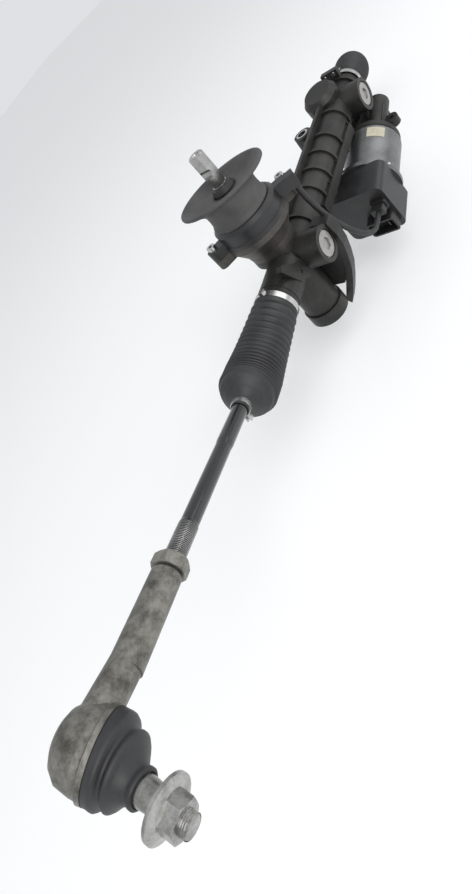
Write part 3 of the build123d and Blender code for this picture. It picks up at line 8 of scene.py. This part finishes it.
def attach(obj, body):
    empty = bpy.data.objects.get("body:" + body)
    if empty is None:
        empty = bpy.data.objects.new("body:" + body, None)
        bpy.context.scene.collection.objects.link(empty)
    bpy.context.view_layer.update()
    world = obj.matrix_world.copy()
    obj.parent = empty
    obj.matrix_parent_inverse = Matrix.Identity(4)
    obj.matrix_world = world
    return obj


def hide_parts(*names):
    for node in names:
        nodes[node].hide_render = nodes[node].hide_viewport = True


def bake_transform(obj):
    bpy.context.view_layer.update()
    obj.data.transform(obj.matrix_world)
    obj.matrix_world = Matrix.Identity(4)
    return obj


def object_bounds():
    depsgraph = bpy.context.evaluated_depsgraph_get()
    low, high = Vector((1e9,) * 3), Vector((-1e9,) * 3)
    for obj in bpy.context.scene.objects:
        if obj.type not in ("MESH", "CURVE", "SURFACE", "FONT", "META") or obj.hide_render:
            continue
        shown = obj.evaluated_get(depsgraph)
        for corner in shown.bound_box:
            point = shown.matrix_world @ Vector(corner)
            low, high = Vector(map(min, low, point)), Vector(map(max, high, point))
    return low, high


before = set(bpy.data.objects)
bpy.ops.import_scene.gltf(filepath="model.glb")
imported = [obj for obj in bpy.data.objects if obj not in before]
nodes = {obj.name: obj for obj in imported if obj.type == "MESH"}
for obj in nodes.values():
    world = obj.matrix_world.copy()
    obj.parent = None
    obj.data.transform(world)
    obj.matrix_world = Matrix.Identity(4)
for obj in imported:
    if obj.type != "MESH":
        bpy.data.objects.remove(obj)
cad_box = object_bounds()
MM = 0.001


# ---------------------------------------------------------------- castings
# The rack tube with its pinion towers, nozzles, ears and side arm is one die casting in an
# aluminium alloy. The gear housing, its cover and the bearing cap are bolted to it.
class Value:
    """A value inside a finish; sums, differences and products of values become nodes."""

    def __init__(self, finish, socket):
        self.finish = finish
        self.socket = socket

    def math(self, operation, left, right):
        return self.finish.node("Math", 0, {0: left, 1: right}, operation=operation)

    def __add__(self, other):
        return self.math("ADD", self, other)

    def __sub__(self, other):
        return self.math("SUBTRACT", self, other)

    def __rsub__(self, other):
        return self.math("SUBTRACT", other, self)

    def __mul__(self, other):
        return self.math("MULTIPLY", self, other)

    __radd__ = __add__
    __rmul__ = __mul__

    def step(self, low, high):
        """0 below low, 1 above high, a smooth climb between."""
        return self.finish.node("MapRange", 0, {0: self, 1: low, 2: high},
                                interpolation_type="SMOOTHSTEP")


class Finish:
    """One material on the principled shader; node() adds a node and returns an output."""

    def __init__(self, name, **constants):
        self.material = bpy.data.materials.new(name)
        self.material.use_nodes = True
        self.tree = self.material.node_tree
        self.shader = self.tree.nodes["Principled BSDF"]
        for socket, number in constants.items():
            self.shader.inputs[socket.replace("_", " ").title()].default_value = number
        self.place = self.node("TexCoord", "Object", {})

    def node(self, kind, output, inputs, **settings):
        made = self.tree.nodes.new("ShaderNode" + kind)
        for setting, choice in settings.items():
            setattr(made, setting, choice)
        for socket, value in inputs.items():
            if isinstance(value, Value):
                self.tree.links.new(value.socket, made.inputs[socket])
            else:
                made.inputs[socket].default_value = value
        return Value(self, made.outputs[output])

    def noise(self, size, detail=4.0, roughness=0.55):
        """Noise whose blotches are about size millimetres across."""
        return self.node("TexNoise", "Fac", {"Vector": self.place, "Scale": 1000.0 / size / 2,
                                             "Detail": detail, "Roughness": roughness})

    def mix(self, low, high, share):
        return self.node("Mix", 2, {6: (*low, 1.0), 7: (*high, 1.0), 0: share}, data_type="RGBA")

    def set(self, socket, value):
        self.tree.links.new(value.socket, self.shader.inputs[socket])

    def relief(self, height, depth):
        """Bump with the given depth in millimetres."""
        self.set("Normal", self.node("Bump", 0, {"Height": height, "Strength": 1.0,
                                                 "Distance": depth * MM}))


def mottled(name, dark, pale, blotch, rough, spread, relief=0.0, grain=1.0, **constants):
    """Soft blotches between two colours, uneven gloss and fine relief; sizes in millimetres."""
    made = Finish(name, **constants)
    large = made.noise(blotch)
    fine = made.noise(grain, 6.0, 0.65)
    made.set("Base Color", made.mix(dark, pale, (large * 0.65 + fine * 0.35).step(0.3, 0.7)))
    made.set("Roughness", fine * spread + (large - 0.5) * spread + (rough - spread / 2))
    if relief:
        made.relief(fine, relief)
    return made


def paint(finish, *names):
    for name in names:
        mesh = nodes[name].data
        mesh.materials.clear()
        mesh.materials.append(finish.material)


paint(mottled("cast_aluminium", (0.018, 0.0175, 0.017), (0.052, 0.050, 0.047), 22.0, 0.48, 0.22,
              0.12, 1.2, metallic=0.55),
      "main_housing", "near_nozzle", "far_nozzle", "gear_housing", "gear_cover", "bearing_cap")

# ---------------------------------------------------------------- torque sensor housing
# A bowl cast in a paler alloy on top of the input pinion's tower, with two screw ears.
paint(mottled("sensor_casting", (0.045, 0.041, 0.036), (0.105, 0.096, 0.085), 14.0, 0.48, 0.2,
              0.08, 0.9, metallic=0.5), "sensor_housing")

# ---------------------------------------------------------------- shafts, rack and gears
# The rack bar, both pinions and the worm are ground steel and run in ball bearings. The inner
# joints are turned steel, screwed on the rack's ends. The worm wheel and ball seats are nylon.
shaft_steel = mottled("ground_steel", (0.28, 0.275, 0.27), (0.48, 0.475, 0.465), 7.0, 0.3, 0.2,
                      0.02, 0.6, metallic=1.0)
nylon = mottled("nylon", (0.42, 0.38, 0.28), (0.55, 0.50, 0.38), 8.0, 0.45, 0.15)
paint(shaft_steel, "input_shaft", "drive_pinion", "worm_shaft", "rack_bar", "pinion_bearings",
      "drive_bearings", "near_inner_joint", "far_inner_joint", "yoke_springs")
paint(nylon, "worm_wheel", "near_inner_seat", "far_inner_seat", "near_outer_seat",
      "far_outer_seat")

# ---------------------------------------------------------------- rack guides
# Each guide is a machined aluminium yoke that a spring presses on the rack's back. A turned
# plug, screwed in its boss, holds the spring.
paint(mottled("machined_aluminium", (0.26, 0.25, 0.24), (0.42, 0.41, 0.39), 9.0, 0.34, 0.2,
              0.02, 0.8, metallic=0.9), "near_yoke", "far_yoke", "yoke_plugs")

# ---------------------------------------------------------------- moulded plastic pieces
# The sensor's lid, the unit's case and end cover, the plugs and the rack's bushes are black
# glass-filled plastic. Lid and cover are screwed on; the bushes are pressed in the tube.
paint(mottled("black_plastic", (0.008, 0.008, 0.009), (0.020, 0.020, 0.021), 10.0, 0.42, 0.2,
              0.03, 0.6),
      "sensor_cover", "sensor_plug", "unit_plug", "unit_cover", "power_socket", "rack_bushes",
      "control_unit")

# ---------------------------------------------------------------- motor, board and label
# The motor's can is drawn steel, screwed to the gear housing's flange. A stator and a rotor
# are inside. The board sits in the control unit, and a blank label plate on its case.
paint(mottled("motor_steel", (0.12, 0.12, 0.122), (0.22, 0.22, 0.222), 14.0, 0.38, 0.18, 0.02,
              0.8, metallic=0.85), "motor_can")
paint(shaft_steel, "motor_stator", "motor_rotor")
paint(mottled("circuit_board", (0.012, 0.08, 0.03), (0.03, 0.14, 0.06), 5.0, 0.4, 0.2),
      "control_board")
paint(mottled("beige_plate", (0.38, 0.35, 0.27), (0.52, 0.48, 0.38), 6.0, 0.5, 0.16),
      "label_plate")

# ---------------------------------------------------------------- screws, sleeves and clamps
# Screws, bolt sleeves and bellows clamps are zinc-plated steel. Sleeves are pressed in the
# mounting ears; each clamp is a thin band that is drawn tight round a bellows' end.
paint(mottled("bright_steel", (0.42, 0.42, 0.41), (0.62, 0.62, 0.61), 8.0, 0.26, 0.16, 0.01,
              0.5, metallic=1.0),
      "near_large_clamp", "far_large_clamp", "near_small_clamp", "far_small_clamp",
      "cover_screws", "drive_screws", "mount_sleeves")

# ---------------------------------------------------------------- sensor lead
# A sleeved rubber cable, 7.2 mm thick, from the sensor's plug to the control unit's plug. Both
# plugs hold it, and it follows the casting between them.
LEAD_RADIUS = 3.6
LEAD_ROUTE = ((-14.8, -83.2, 62), (-14.8, -83.2, 44), (-7, -86.5, 0), (8, -95, -42),
              (28, -100, -66), (47.5, -100.5, -71.3), (65.2, -100.5, -68.2))
rubber = mottled("rubber", (0.012, 0.012, 0.013), (0.030, 0.030, 0.031), 12.0, 0.55, 0.2, 0.05,
                 0.8)
paint(rubber, "shaft_seal", "near_bellows", "far_bellows", "near_stud_boot", "far_stud_boot",
      "sensor_lead")
route = bpy.data.curves.new("sensor_lead_cable", "CURVE")
route.dimensions = "3D"
spline = route.splines.new("NURBS")
spline.points.add(len(LEAD_ROUTE) - 1)
for point, place in zip(spline.points, LEAD_ROUTE):
    point.co = (*(Vector(place) * MM), 1.0)
spline.order_u = 3
spline.use_endpoint_u = True
spline.resolution_u = 24
route.bevel_depth = LEAD_RADIUS * MM
route.bevel_resolution = 6
route.use_fill_caps = True
route.materials.append(rubber.material)
lead = bpy.data.objects.new("sensor_lead_cable", route)
bpy.context.collection.objects.link(lead)
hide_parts("sensor_lead")
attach(lead, "housing")

# ---------------------------------------------------------------- bulkhead boot
# A soft rubber boot round the input shaft: a round body that fits over the sensor's lid, and a
# dished oval lip that seals against the car's bulkhead. Stations are height and two half widths.
BOOT_CENTRE = (-49.1, -30.8)
BOOT_ANGLE = radians(-59.0)
BOOT_SEGMENTS = 120
BOOT_OUTSIDE = [(84.0, 37.0, 37.0), (86.2, 37.0, 37.0), (87.0, 36.4, 36.4), (87.8, 35.2, 35.2),
                (92.0, 34.9, 34.9), (97.0, 34.4, 34.4), (102.0, 34.5, 34.5),
                (106.0, 35.2, 35.0), (109.0, 37.6, 35.6), (111.5, 41.5, 36.0),
                (113.5, 46.0, 36.4), (115.2, 51.0, 37.0), (116.0, 54.5, 38.2),
                (116.8, 55.8, 38.9), (118.2, 56.0, 39.0), (119.4, 55.5, 38.6),
                (120.0, 54.2, 37.4)]
BOOT_DISH = [(119.9, 52.2, 35.4), (119.0, 50.4, 33.8), (117.2, 46.0, 32.9), (115.0, 40.0, 32.2),
             (113.2, 34.6, 31.2), (112.3, 31.6, 30.2), (112.0, 28.0, 28.0), (112.4, 24.0, 24.0),
             (112.4, 20.5, 20.5), (112.0, 18.0, 18.0), (112.0, 14.3, 14.3)]
BOOT_INSIDE = [(108.6, 14.3, 14.3), (108.6, 32.0, 32.0), (88.0, 32.4, 32.4), (84.0, 32.5, 32.5)]


def skin(name, rows, finish, smooth=True, closed=False):
    """A mesh through closed rows of points in millimetres; closed joins the last to the first."""
    grid = bmesh.new()
    verts = [[grid.verts.new(point * MM) for point in row] for row in rows]
    for low, high in zip(verts, verts[1:] + verts[:1] if closed else verts[1:]):
        for k in range(len(low)):
            grid.faces.new((low[k], low[k - 1], high[k - 1], high[k]))
    bmesh.ops.recalc_face_normals(grid, faces=grid.faces)
    mesh = bpy.data.meshes.new(name)
    grid.to_mesh(mesh)
    grid.free()
    if smooth:
        mesh.shade_smooth()
    mesh.materials.append(finish.material)
    made = bpy.data.objects.new(name, mesh)
    bpy.context.collection.objects.link(made)
    return made


def oval(height, half_length, half_width):
    points = []
    for k in range(BOOT_SEGMENTS):
        angle = 2 * pi * k / BOOT_SEGMENTS
        x, y = half_length * cos(angle), half_width * sin(angle)
        points.append(Vector((BOOT_CENTRE[0] + x * cos(BOOT_ANGLE) - y * sin(BOOT_ANGLE),
                              BOOT_CENTRE[1] + x * sin(BOOT_ANGLE) + y * cos(BOOT_ANGLE), height)))
    return points


boot_rubber = mottled("boot_rubber", (0.035, 0.034, 0.033), (0.075, 0.073, 0.071), 16.0, 0.6,
                      0.2, 0.05, 0.8)
paint(boot_rubber, "bulkhead_boot")
boot = skin("bulkhead_boot_mould", [oval(*s) for s in BOOT_OUTSIDE + BOOT_DISH + BOOT_INSIDE],
            boot_rubber, closed=True)
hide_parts("bulkhead_boot")
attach(boot, "housing")

# ---------------------------------------------------------------- bellows
# A moulded rubber tube with round folds seals each inner joint. Its large end is clamped on the
# casting's nozzle, its small collar on the tie rod; the folds curve from the nozzle's axis onto the
# rod's, and the cone between them lies on the rod.
AXIS_Y = -44.0
NOZZLE_LIP = 7.0
WALL = 1.4
FOLD_DEPTH = 3.0
FOLDS_END = 27.0
STEPS_PER_FOLD = 8
NEAR_BALL = Vector((-221.0, AXIS_Y, 0))
FAR_BALL = Vector((328.0, AXIS_Y, 0))
NEAR_ROD = Vector((-0.9036, -0.2703, 0.3323)).normalized()
FAR_ROD = Vector((0.8545, 0.3850, -0.3485)).normalized()


def ring(centre, way, radius, segments=72):
    side = Vector((0, 0, 1)).cross(way).normalized()
    lift = way.cross(side)
    return [centre + side * (radius * cos(2 * pi * k / segments))
            + lift * (radius * sin(2 * pi * k / segments)) for k in range(segments)]


def bend_line(start, start_way, end, end_way, count):
    """Points and directions on a curve that leaves start and meets end smoothly."""
    length = (end - start).length
    first = start + start_way * length * 0.5
    second = end - end_way * length * 0.25
    line = []
    for step in range(count + 1):
        t = step / count
        place = (start * (1 - t) ** 3 + first * (3 * t * (1 - t) ** 2)
                 + second * (3 * t * t * (1 - t)) + end * t ** 3)
        way = ((first - start) * (1 - t) ** 2 + (second - first) * (2 * t * (1 - t))
               + (end - second) * t ** 2).normalized()
        line.append((place, way))
    return line


def bellows(side, clamp_x, outward, nozzle_r, ball, along, first_r, last_r, folds):
    def on_rod(*stations):
        return [ring(ball + along * far, along, radius) for far, radius in stations]

    nozzle_end = Vector((clamp_x, AXIS_Y, 0)) + outward * NOZZLE_LIP
    steps = folds * STEPS_PER_FOLD
    sleeve = nozzle_r + WALL
    rings = [ring(nozzle_end - outward * 10.5, outward, sleeve),
             ring(nozzle_end, outward, sleeve)]
    line = bend_line(nozzle_end + outward, outward, ball + along * FOLDS_END, along, steps)
    for step, (place, way) in enumerate(line):
        crest = first_r + (last_r - first_r) * min(1.0, 1.4 * (step / steps))
        wave = 0.5 - 0.5 * cos(2 * pi * step / STEPS_PER_FOLD)
        rings.append(ring(place, way, crest - FOLD_DEPTH * (1 - wave ** 0.6)))
    shoulder, waist, tip = (33.0, last_r - 4.5), (39.0, last_r - 12.0), 46.0
    body = skin(side + "_bellows_folds", rings + on_rod((30.0, last_r - 2.6), shoulder), rubber)
    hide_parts(side + "_bellows")
    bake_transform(body)
    cone = skin(side + "_bellows_cone", on_rod(shoulder, (36.0, last_r - 8.5), waist), rubber)
    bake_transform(cone)
    collar = skin(side + "_bellows_collar",
                  on_rod(waist, (43.0, 12.2), (tip, 10.4), (47.5, 9.2), (56.0, 9.2), (56.3, 8.6),
                         (56.0, 7.9)), rubber)
    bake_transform(collar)


bellows("near", -128.0, Vector((-1, 0, 0)), 23.4, NEAR_BALL, NEAR_ROD, 26.0, 31.0, 16)
bellows("far", 293.0, Vector((1, 0, 0)), 19.6, FAR_BALL, FAR_ROD, 24.0, 26.2, 14)

# ---------------------------------------------------------------- tie rods and rod ends
# A black-painted steel rod on each side, with a rolled M16 thread that screws into a forged rod
# end. A lock nut holds the setting. The rod end's cup carries the outer ball.
THREAD_SEGMENTS = 40
STEPS_PER_TURN = 8
THREAD_DEPTH = 0.3
THREAD_STAND = 0.12
paint(mottled("black_paint", (0.004, 0.004, 0.0045), (0.012, 0.012, 0.013), 20.0, 0.22, 0.14,
              0.02, 1.0, coat_weight=0.4), "near_tie_rod", "far_tie_rod")
paint(mottled("forged_steel", (0.055, 0.052, 0.044), (0.27, 0.262, 0.235), 7.0, 0.5, 0.3, 0.25,
              1.4, metallic=0.7),
      "near_rod_end", "far_rod_end", "near_lock_nut", "far_lock_nut")
zinc = mottled("zinc_plate", (0.20, 0.195, 0.185), (0.50, 0.495, 0.48), 6.0, 0.36, 0.24, 0.03,
               0.7, metallic=0.95)


def thread(name, base, along, start, end, radius, pitch, body):
    """A one-start rolled thread on a shank, from start to end along it."""
    side = Vector((0, 0, 1)).cross(along).normalized()
    lift = along.cross(side)
    steps = int((end - start) / pitch * STEPS_PER_TURN)
    rows = []
    for step in range(steps + 1):
        far = start + (end - start) * step / steps
        row = []
        for k in range(THREAD_SEGMENTS):
            slope = abs(2 * ((far / pitch - k / THREAD_SEGMENTS) % 1.0) - 1)
            r = radius + THREAD_STAND - THREAD_DEPTH * pitch * slope
            angle = 2 * pi * k / THREAD_SEGMENTS
            row.append(base + along * far + side * (r * cos(angle)) + lift * (r * sin(angle)))
        rows.append(row)
    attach(skin(name, rows, zinc, smooth=False), body)


thread("near_rod_thread", NEAR_BALL, NEAR_ROD, 203.0, 234.0, 7.8, 1.5, "near_tie_rod")
thread("far_rod_thread", FAR_BALL, FAR_ROD, 203.0, 234.0, 7.8, 1.5, "far_tie_rod")

# ---------------------------------------------------------------- ball studs and their nuts
# Zinc-plated steel. The stud's ball turns in the rod end's seat, its taper sits in the wheel
# carrier's arm, and a flange nut on its M12 thread draws it tight.
ROD_TO_BALL = 355.0
NEAR_OUTER = NEAR_BALL + NEAR_ROD * ROD_TO_BALL
FAR_OUTER = FAR_BALL + FAR_ROD * ROD_TO_BALL
NEAR_STUD = Vector((-0.1541, -0.9569, -0.2463)).normalized()
FAR_STUD = Vector((-0.3900, -0.1200, -0.9130)).normalized()
paint(zinc, "near_ball_stud", "far_ball_stud", "near_stud_nut", "far_stud_nut")
thread("near_stud_thread", NEAR_OUTER, NEAR_STUD, 65.2, 70.6, 6.0, 1.25,
       "near_ball_stud")
thread("far_stud_thread", FAR_OUTER, FAR_STUD, 65.2, 70.6, 6.0, 1.25, "far_ball_stud")

# ---------------------------------------------------------------- stud boots
# A moulded rubber boot that snaps on the rod end's rim and grips the stud with a tight collar.
# Its axis turns from the rod end's cup towards the stud. Stations are distance and radius.
NEAR_CUP = Vector((-0.0242, -0.8201, -0.5718)).normalized()
FAR_CUP = Vector((-0.2750, -0.0600, -0.9600)).normalized()
RIM_AT = 8.0
LEAN_OVER = 25.0
BOOT_STATIONS = [(8.0, 22.9), (9.0, 23.3), (12.0, 23.1), (14.0, 23.2), (16.0, 23.0),
                 (17.6, 22.0), (19.0, 19.6), (20.5, 18.0), (22.0, 17.9), (24.0, 18.9),
                 (25.5, 19.0), (27.0, 17.6), (29.0, 15.0), (31.0, 12.6), (33.0, 10.8),
                 (35.0, 9.8), (36.6, 9.5), (37.4, 10.0), (39.2, 10.0), (40.0, 9.3), (40.0, 8.3)]
SKIRT_BENDS_FROM, WAIST, NECK_BENDS_TO = 3, 12, 15


def stud_boot(side, ball, cup, stud):
    centres = []
    rings = []
    for far, radius in BOOT_STATIONS:
        share = min(max((far - RIM_AT) / LEAN_OVER, 0.0), 1.0)
        centres.append(ball + cup * far * (1 - share) + stud * far * share)
        rings.append(ring(centres[-1], (cup * (1 - share) + stud * share).normalized(), radius))
    skirt = skin(side + "_stud_boot_skirt", rings[:WAIST + 1], rubber)
    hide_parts(side + "_stud_boot")
    centres[SKIRT_BENDS_FROM] * MM
    centres[WAIST] * MM
    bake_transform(skirt)
    neck = skin(side + "_stud_boot_neck", rings[WAIST:], rubber)
    centres[WAIST] * MM
    centres[NECK_BENDS_TO] * MM
    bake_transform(neck)


stud_boot("near", NEAR_OUTER, NEAR_CUP, NEAR_STUD)
stud_boot("far", FAR_OUTER, FAR_CUP, FAR_STUD)

# ---------------------------------------------------------------- camera
# Beyond the near rod end and above it, so that the rod end is large and the motor is far away.
IMAGE_HEIGHT = 894.0
FOCAL_PIXELS = 546.3
camera_data = bpy.data.cameras.new("camera")
camera_data.sensor_width = 36.0
camera_data.lens = 36.0 * FOCAL_PIXELS / IMAGE_HEIGHT
camera_data.shift_x = (236.0 - 252.7) / IMAGE_HEIGHT
camera_data.shift_y = (388.5 - 447.0) / IMAGE_HEIGHT
camera = bpy.data.objects.new("camera", camera_data)
right = Vector((0.267218, -0.744770, -0.611484))
up = Vector((0.846811, -0.121357, 0.517865))
back = Vector((-0.459898, -0.656194, 0.598250))
camera.matrix_world = (Matrix.Translation(Vector((-0.491112, -0.413078, 0.333725)))
                       @ Matrix((right, up, back)).transposed().to_4x4())
bpy.context.collection.objects.link(camera)
bpy.context.scene.camera = camera

# ---------------------------------------------------------------- floor
# A plain pale floor just under the object; it keeps the object's shadow.
FLOOR_REACH = 8.0
FLOOR_GAP = 0.004
floor_z = cad_box[0][2] - FLOOR_GAP
floor_mesh = bpy.data.meshes.new("floor")
floor_mesh.from_pydata([(-FLOOR_REACH, -FLOOR_REACH, floor_z), (FLOOR_REACH, -FLOOR_REACH, floor_z),
                        (FLOOR_REACH, FLOOR_REACH, floor_z), (-FLOOR_REACH, FLOOR_REACH, floor_z)],
                       [], [(0, 1, 2, 3)])
pale = Finish("pale_floor", roughness=0.9)
pale.shader.inputs["Base Color"].default_value = (0.93, 0.93, 0.93, 1.0)
floor_mesh.materials.append(pale.material)
floor = bpy.data.objects.new("floor", floor_mesh)
bpy.context.collection.objects.link(floor)

# ---------------------------------------------------------------- light
# Even studio light: a bright room and two large soft lamps.
LAMP_TARGET = Vector((0.05, -0.05, 0.0))
world = bpy.data.worlds.new("studio")
world.use_nodes = True
world.node_tree.nodes["Background"].inputs["Color"].default_value = (0.92, 0.94, 0.96, 1.0)
world.node_tree.nodes["Background"].inputs["Strength"].default_value = 0.8
bpy.context.scene.world = world
for name, place, size, energy in (("key", (-0.9, -1.3, 1.5), 1.2, 22.0),
                                  ("fill", (0.9, -1.2, 0.9), 1.4, 8.0)):
    lamp_data = bpy.data.lights.new(name, "AREA")
    lamp_data.shape = "SQUARE"
    lamp_data.size = size
    lamp_data.energy = energy
    lamp = bpy.data.objects.new(name, lamp_data)
    lamp.location = place
    lamp.rotation_euler = (LAMP_TARGET - Vector(place)).to_track_quat("-Z", "Y").to_euler()
    bpy.context.collection.objects.link(lamp)

bpy.context.scene.view_settings.view_transform = "Standard"
